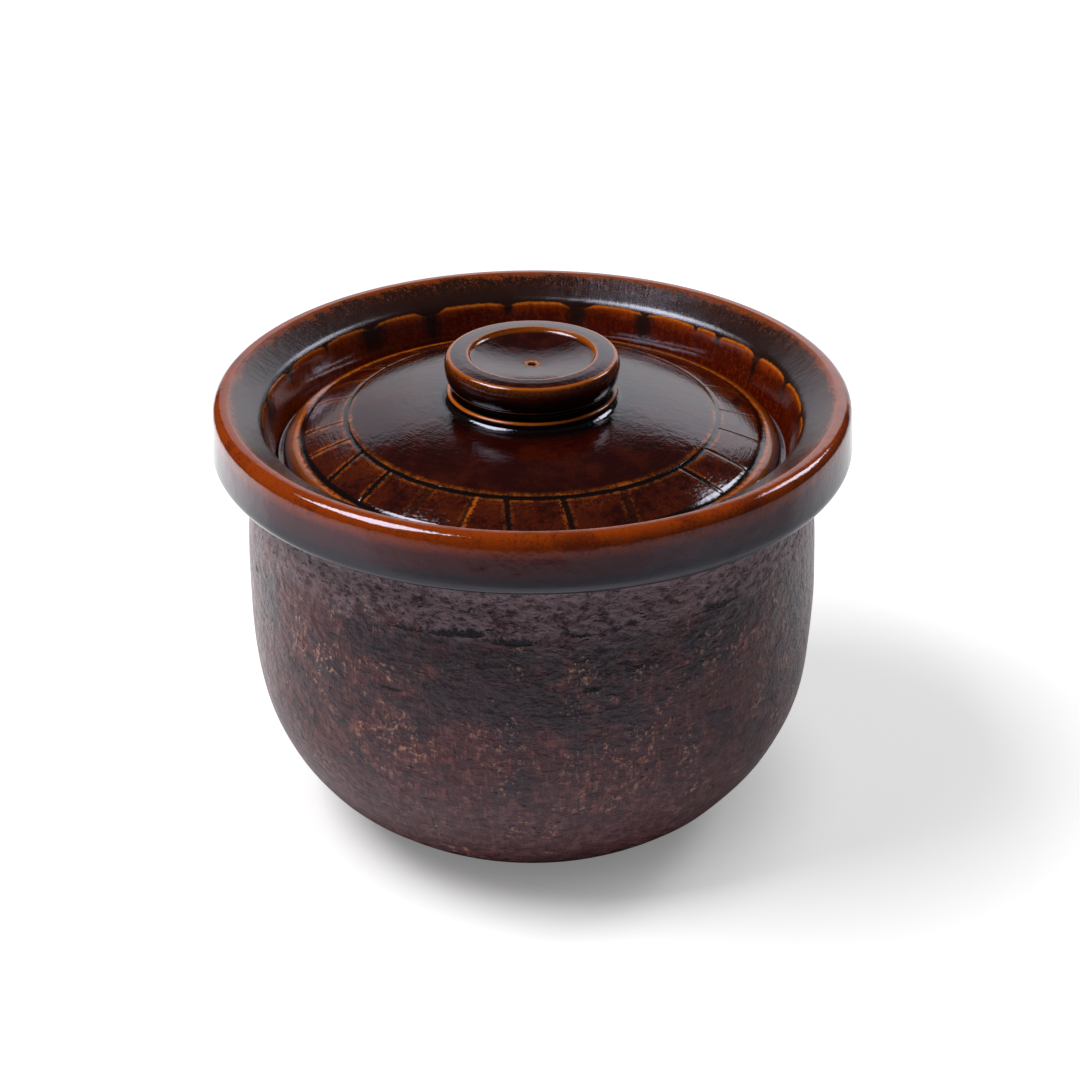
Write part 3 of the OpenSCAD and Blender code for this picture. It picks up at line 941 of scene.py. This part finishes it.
class POT_OT_lid(bpy.types.Operator):
    """Turn the lid's plate and cut its lines"""

    bl_idname = "pot.lid"
    bl_label = "Lid plate"

    def execute(self, context):
        size, knob = context.scene.pot_lid, context.scene.pot_knob
        ledge = RIM_HEIGHT - context.scene.pot_collar.ledge_drop

        def dome(radius):
            """Height of the dome at a radius."""
            x = radius / size.arris_radius
            fall = size.dome_blend * x**2 + (1 - size.dome_blend) * x**4
            return ledge + size.dome_height - (size.dome_height - size.lip_height) * fall

        def pool(radius):
            """Height of the glaze gathered against the knob's foot."""
            inwards = max(0.0, 1 - (radius - knob.foot_radius) / size.pool_width)
            return size.pool_height * inwards**2

        def groove(radius):
            """Depth of the two turned grooves at a radius."""
            depth = 0.0
            for middle in (size.inner_groove, size.outer_groove):
                across = min(1.0, abs(radius - middle) / size.groove_half)
                depth = max(depth, size.groove_depth * (1 - across**2) ** 1.5)
            return depth

        # Radii of the top, closer together at the knob's foot and at the two grooves
        close_step, wide_step, close_zone = 0.22 * MM, 1.1 * MM, 1.8 * MM
        radii = [knob.foot_radius]
        while radii[-1] < size.arris_radius:
            near = min(abs(radii[-1] - size.inner_groove), abs(radii[-1] - size.outer_groove))
            near = min(near, radii[-1] - knob.foot_radius)
            radii.append(radii[-1] + (close_step if near < close_zone else wide_step))
        radii[-1] = size.arris_radius
        top = [(radius, dome(radius) + pool(radius) - groove(radius), 0) for radius in radii]
        lip_width = size.lip_radius - size.arris_radius
        lip_rise = size.lip_height - size.lip_side
        lip = [
            (
                size.arris_radius + lip_width * math.sin(math.radians(t)),
                ledge + size.lip_side + lip_rise * math.cos(math.radians(t)),
                0,
            )
            for t in range(10, 91, 10)
        ]
        inner_ring = size.ring_radius - size.ring_wall
        seat = [
            (size.lip_radius - 0.8 * MM, ledge, 0),
            (size.ring_radius, ledge, 0),
            (size.ring_radius, RING_FOOT, 1 * MM),
            (inner_ring, RING_FOOT, 1 * MM),
        ]
        under = [(inner_ring * i / 20, dome(inner_ring * i / 20) - size.plate, 0) for i in range(20, -1, -1)]
        shape = wire([(0, KNOB_FOOT, 0), *top, *lip, *seat, *under])
        divide(shape, 5 * MM)

        # Columns: close together across each cut line and a margin beside it, wider apart between two lines
        close_columns, wide_columns, margin = 12, 8, 0.7
        middles = [(inner + outer) / 2 for inner, outer, *_ in CUT_LINES]
        middle_radius = (size.inner_groove + size.outer_groove) / 2
        reaches = [math.degrees((line[2] + margin) * MM / middle_radius) for line in CUT_LINES]
        columns = []
        for index, (start, reach) in enumerate(zip(middles, reaches)):
            following = (index + 1) % len(middles)
            span = (middles[following] - start) % 360 - reach - reaches[following]
            columns += [start + reach * (2 * i / close_columns - 1) for i in range(close_columns)]
            columns += [start + reach + span * i / wide_columns for i in range(wide_columns)]
        turn(shape, len(columns))

        layers = [shape.verts.layers.float.new("cut_" + key) for key in CUT_KEYS]
        width = size.outer_groove - size.inner_groove

        # Each even column turns to its own angle; across the band it is cut down and leans with its line
        for vert in shape.verts:
            place = vert.co
            radius = math.hypot(place.x, place.y)
            even = angle_of(place)
            angle = columns[round(even / 360 * len(columns)) % len(columns)]
            place.rotate(Matrix.Rotation(math.radians(angle - even), 3, "Z"))
            index = min(range(len(middles)), key=lambda i: abs(apart(angle, middles[i])))
            inner, outer, half, fill, before, after = CUT_LINES[index]
            offset = apart(angle, middles[index])
            arc = abs(math.radians(offset)) * radius / MM
            for layer, value in zip(layers, (arc, half, fill, before if offset < 0 else after)):
                vert[layer] = value
            if place.z < ledge + 2.5 * MM or radius < knob.foot_radius:
                continue
            across = min(1.0, max(0.0, (radius - size.inner_groove) / width))
            window = fade(radius, size.inner_groove - 0.3 * MM, size.inner_groove + 1.0 * MM)
            window *= fade(radius, size.outer_groove + 0.3 * MM, size.outer_groove - 1.0 * MM)
            place.z -= size.cut_depth * fill * window * fade(arc, half + 0.35, half * 0.3)
            lean = apart(outer, inner) * (across - 0.5) * fade(abs(offset), 6.0, 1.5)
            place.rotate(Matrix.Rotation(math.radians(lean), 3, "Z"))
        piece(shape, "lid_dome", "lid", "lid_plate", lid_glaze(size, knob))
        return {"FINISHED"}


class POT_OT_knob(bpy.types.Operator):
    """Turn the knob"""

    bl_idname = "pot.knob"
    bl_label = "Knob"

    def execute(self, context):
        size, lid = context.scene.pot_knob, context.scene.pot_lid
        top = TOP_HEIGHT
        edge = top - size.edge_drop
        waist = top - size.waist_drop
        foot = top - size.foot_drop
        floor = top - size.dish_depth

        def arc(radius, height, across, up, start, end):
            """Points on part of an ellipse about (radius, height), from one angle to another in degrees."""
            steps = 12
            angles = [math.radians(start + (end - start) * i / steps) for i in range(steps + 1)]
            return [(radius + across * math.cos(a), height + up * math.sin(a), 0) for a in angles]

        dish = [
            (size.dish_floor * x, floor + size.dish_hollow * x**2, 0)
            for x in (0.12, 0.2, 0.3, 0.4, 0.5, 0.6, 0.7, 0.8, 0.9)
        ]
        wall_width = size.dish_radius - size.dish_floor
        wall = arc(size.dish_floor, top, wall_width, size.dish_depth - size.dish_hollow, -80, -8)
        pit = [
            (0, floor - size.pit_depth, 0),
            (size.pit_radius * 0.6, floor - size.pit_depth, 0),
            (size.pit_radius * 0.95, floor - size.pit_depth * 0.5, 0),
            (size.pit_radius * 1.1, floor - 0.15 * MM, 0),
        ]
        side_width = size.radius - size.arris_radius
        side = arc(size.arris_radius, edge, side_width, size.edge_drop - size.rim_fall, 78, 0)
        under = arc(size.waist_radius, edge, size.radius - size.waist_radius, edge - waist, -8, -88)
        ring = [
            (size.waist_radius, waist, 0),
            (size.waist_radius, foot, 1.2 * MM),
            (size.foot_radius, foot, 0.6 * MM),
            (size.foot_radius, KNOB_FOOT, 0),
            (0, KNOB_FOOT, 0),
        ]
        crown = ((size.dish_radius + size.arris_radius) / 2, top - size.rim_fall * 0.25, 4 * MM)
        rims = [(size.dish_radius, top, 0.8 * MM), crown, (size.arris_radius, top - size.rim_fall, 0.8 * MM)]
        shape = wire([*pit, *dish, *wall, *rims, *side, *under, *ring])
        divide(shape, 0.7 * MM)
        turn(shape, 360)
        piece(shape, "knob_disc", "lid", "lid_knob", knob_glaze(size, lid))
        return {"FINISHED"}


# Studio


def paper_material():
    """White paper that stays white in the picture and in reflections, and keeps the pot's shadow."""
    s = Shader("paper")
    ray = s.node("ShaderNodeLightPath", {}, {}, None)
    mirrored = Value(s, ray.outputs["Is Glossy Ray"]).most(Value(s, ray.outputs["Is Transmission Ray"]))

    # Strength seen by the camera, least under the pot, where the shadow has to stay
    strength = Value(s, ray.outputs["Is Camera Ray"]) * (0.2 + s.radius.step(55.0, 115.0) * 0.35)

    # Strength in reflections: the floor behind the pot, dimmer on the right as a painted shadow of the pot,
    # and the backdrop, brightest up and to the right as painted light
    floor = s.y.step(-50.0, 150.0) * (0.45 + s.x.step(160.0, 40.0) * 0.4)
    wall = 0.1 + s.x.step(100.0, 400.0) * 0.12
    wall = wall + s.x.step(-400.0, 0.0) * (0.32 + s.z.step(200.0, 500.0) * 0.33)
    standing = s.z.step(0.0, 120.0)
    under_top = (s.z - s.x.size() * 0.5).step(730.0, 560.0)
    strength = strength + mirrored * (floor * (1.0 - standing) + wall * standing) * under_top

    # Colour: greyer at the front and far right as painted shade, and behind, and dark in reflections from
    # under the pot as a painted shadow of its foot
    near = s.y.step(-440.0, -230.0) * s.x.step(520.0, 180.0).most(s.y.step(100.0, 300.0))
    shade = s.layered(
        (0.45, 0.45, 0.45),
        ((0.86, 0.86, 0.87), near),
        ((0.66, 0.66, 0.68), s.y.step(200.0, 560.0)),
        ((0.04, 0.04, 0.04), mirrored * s.radius.step(98.0, 72.0) * s.y.step(40.0, 0.0)),
    )
    surface = s.node("ShaderNodeBsdfDiffuse", {}, {"Color": shade})
    light = s.node("ShaderNodeEmission", {}, {"Color": WHITE, "Strength": strength})
    return s.ends_in(s.node("ShaderNodeAddShader", {}, [surface, light]))


def lamp(name, angle, height, across, up, distance, power):
    """Soft box seen from the pot at an angle round it and a height above the horizon, in degrees."""
    data = bpy.data.lights.new(name, "AREA")
    data.shape = "RECTANGLE"
    data.size = across
    data.size_y = up
    data.energy = power
    box = bpy.data.objects.new(name, data)
    bpy.context.scene.collection.objects.link(box)
    a, e = math.radians(angle), math.radians(height)
    away = Vector((math.cos(a) * math.cos(e), math.sin(a) * math.cos(e), math.sin(e)))
    box.location = LAMP_AIM + away * distance
    box.rotation_euler = away.to_track_quat("Z", "Y").to_euler()


class POT_OT_studio(bpy.types.Operator):
    """Set up the paper, the lamps and the camera"""

    bl_idname = "pot.studio"
    bl_label = "Studio"

    def execute(self, context):
        size = context.scene.pot_studio
        curve_angle, curve_steps, lean_back = 84, 24, 30 * MM
        shape = bmesh.new()
        front = shape.verts.new((size.paper_left, size.paper_front, 0))
        bend = shape.verts.new((size.paper_left, size.paper_bend, 0))
        shape.edges.new((front, bend))
        made = bmesh.ops.spin(
            shape,
            geom=[bend],
            cent=(0, size.paper_bend, size.paper_sweep),
            axis=(1, 0, 0),
            angle=math.radians(curve_angle),
            steps=curve_steps,
        )
        last = [item for item in made["geom_last"] if isinstance(item, bmesh.types.BMVert)][0]
        top = shape.verts.new(last.co + Vector((0, lean_back, size.paper_top - last.co.z)))
        shape.edges.new((last, top))
        made = bmesh.ops.extrude_edge_only(shape, edges=shape.edges[:])
        moved = [item for item in made["geom"] if isinstance(item, bmesh.types.BMVert)]
        bmesh.ops.translate(shape, verts=moved, vec=(size.paper_right - size.paper_left, 0, 0))
        bmesh.ops.recalc_face_normals(shape, faces=shape.faces[:])
        mesh = bpy.data.meshes.new("paper")
        shape.to_mesh(mesh)
        shape.free()
        mesh.shade_smooth()
        mesh.materials.append(paper_material())
        paper = bpy.data.objects.new("paper", mesh)
        context.scene.collection.objects.link(paper)

        for box in LAMPS:
            lamp(*box)

        world = bpy.data.worlds.new("studio")
        context.scene.world = world
        world.use_nodes = True
        nodes, links = world.node_tree.nodes, world.node_tree.links
        nodes.clear()
        white, dim = (nodes.new("ShaderNodeBackground") for _ in range(2))
        mixed = nodes.new("ShaderNodeMixShader")
        out = nodes.new("ShaderNodeOutputWorld")
        path = nodes.new("ShaderNodeLightPath")
        for node, strength in ((white, 1.0), (dim, DIM)):
            node.inputs["Color"].default_value = WHITE
            node.inputs["Strength"].default_value = strength
        links.new(path.outputs["Is Camera Ray"], mixed.inputs[0])
        links.new(dim.outputs[0], mixed.inputs[1])
        links.new(white.outputs[0], mixed.inputs[2])
        links.new(mixed.outputs[0], out.inputs["Surface"])

        data = bpy.data.cameras.new("camera")
        data.lens = size.lens
        data.sensor_width = SENSOR_WIDTH
        camera = bpy.data.objects.new("camera", data)
        context.scene.collection.objects.link(camera)
        camera.location = CAMERA_PLACE
        camera.rotation_euler = (math.radians(CAMERA_TILT), 0, 0)
        context.scene.camera = camera
        context.scene.view_settings.view_transform = "Standard"
        return {"FINISHED"}


class POT_PT_pieces(bpy.types.Panel):
    """Lists the pieces of the pot"""

    bl_label = "Clay rice pot"
    bl_idname = "POT_PT_pieces"
    bl_space_type = "VIEW_3D"
    bl_region_type = "UI"
    bl_category = "Pot"

    def draw(self, context):
        column = self.layout.column()
        for operator in OPERATORS:
            column.operator(operator.bl_idname)
        for name, group in SETTINGS:
            box = self.layout.box()
            box.label(text=group.__doc__)
            for key in group.__annotations__:
                box.prop(getattr(context.scene, name), key)


OPERATORS = (POT_OT_studio, POT_OT_bowl, POT_OT_collar, POT_OT_lid, POT_OT_knob)
SETTINGS = (
    ("pot_bowl", BowlSettings),
    ("pot_collar", CollarSettings),
    ("pot_lid", LidSettings),
    ("pot_knob", KnobSettings),
    ("pot_studio", StudioSettings),
)


def register():
    for name, group in SETTINGS:
        bpy.utils.register_class(group)
        setattr(bpy.types.Scene, name, bpy.props.PointerProperty(type=group))
    for kind in (*OPERATORS, POT_PT_pieces):
        bpy.utils.register_class(kind)


def unregister():
    for kind in reversed((*OPERATORS, POT_PT_pieces)):
        bpy.utils.unregister_class(kind)
    for name, group in reversed(SETTINGS):
        delattr(bpy.types.Scene, name)
        bpy.utils.unregister_class(group)


def main():
    """Makes the studio and every piece."""
    register()
    bpy.ops.pot.studio()
    bpy.ops.pot.bowl()
    bpy.ops.pot.collar()
    bpy.ops.pot.lid()
    bpy.ops.pot.knob()
    bpy.context.view_layer.update()


if __name__ == "__main__":
    main()
